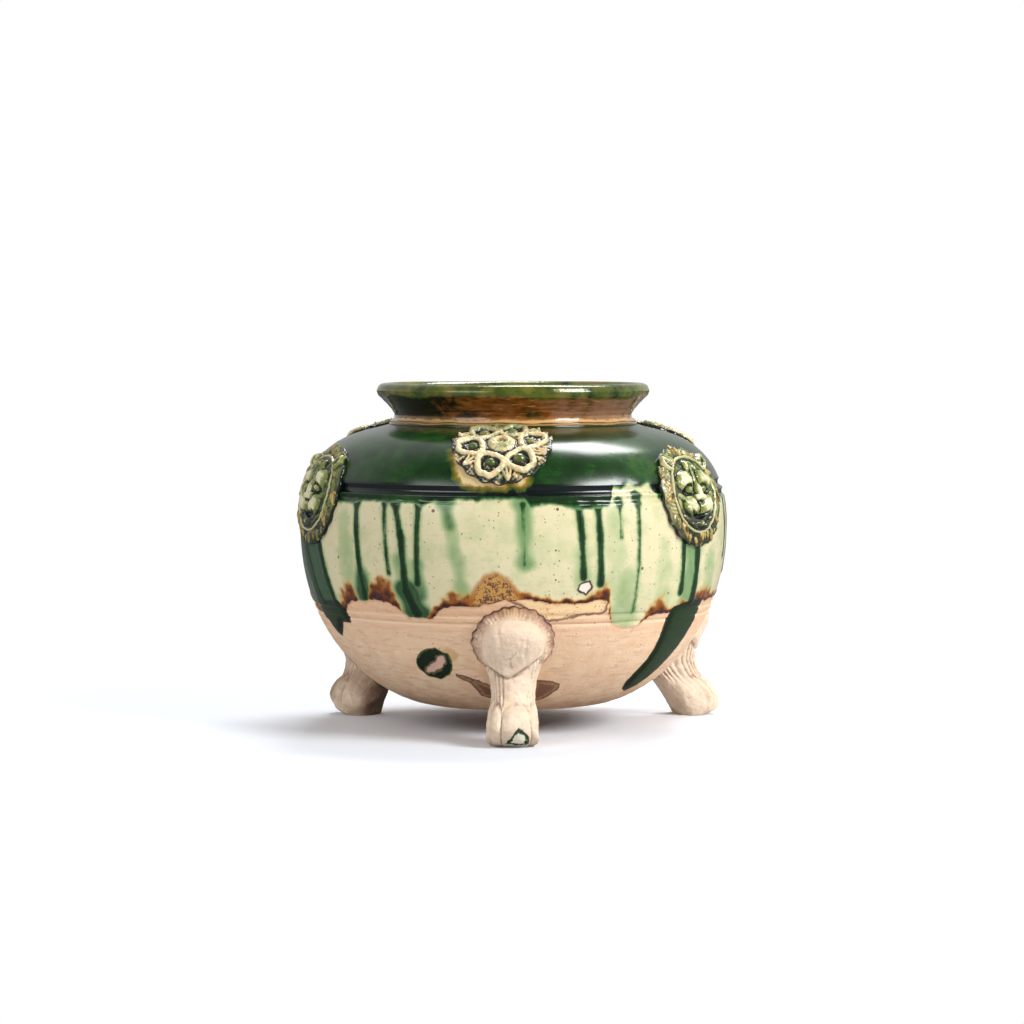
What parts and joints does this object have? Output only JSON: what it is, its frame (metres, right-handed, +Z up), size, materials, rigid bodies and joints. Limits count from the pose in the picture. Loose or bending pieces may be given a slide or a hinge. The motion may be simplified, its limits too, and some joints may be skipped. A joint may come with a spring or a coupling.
{
  "type": "tripod incense burner",
  "caption": "Globular glazed earthenware incense burner with a short everted neck, three lion-paw legs, and moulded flower and lion's-mask medallions on the shoulder.",
  "frame": {"origin": "on the ground under the middle of the vessel", "axes": "+Z up along the axis of the bowl, -Y towards the front leg"},
  "size_m": [0.1957, 0.1996, 0.1562],
  "materials": {
    "cream_and_green_glaze": "glossy lead glaze, cream with green, over bare buff clay on the lower third",
    "amber_glaze": "glossy amber lead glaze, olive-green on the lip",
    "rosette_glaze": "glossy cream lead glaze with dark green pooled in the hollows",
    "roundel_glaze": "glossy olive-green lead glaze with cream high spots",
    "bare_clay": "matte unglazed buff earthenware",
    "luting_clay": "matte unglazed clay with a brown crust at its edge"
  },
  "bodies": {
    "root": {"bowl_body": "cream_and_green_glaze", "neck_rim": "amber_glaze", "front_leg": "bare_clay", "right_leg": "bare_clay", "left_leg": "bare_clay", "front_leg_pad": "luting_clay", "right_leg_pad": "luting_clay", "left_leg_pad": "luting_clay", "front_rosette": "rosette_glaze", "right_rear_rosette": "rosette_glaze", "left_rear_rosette": "rosette_glaze", "right_roundel": "roundel_glaze", "left_roundel": "roundel_glaze", "rear_roundel": "roundel_glaze"}
  },
  "joints": []
}
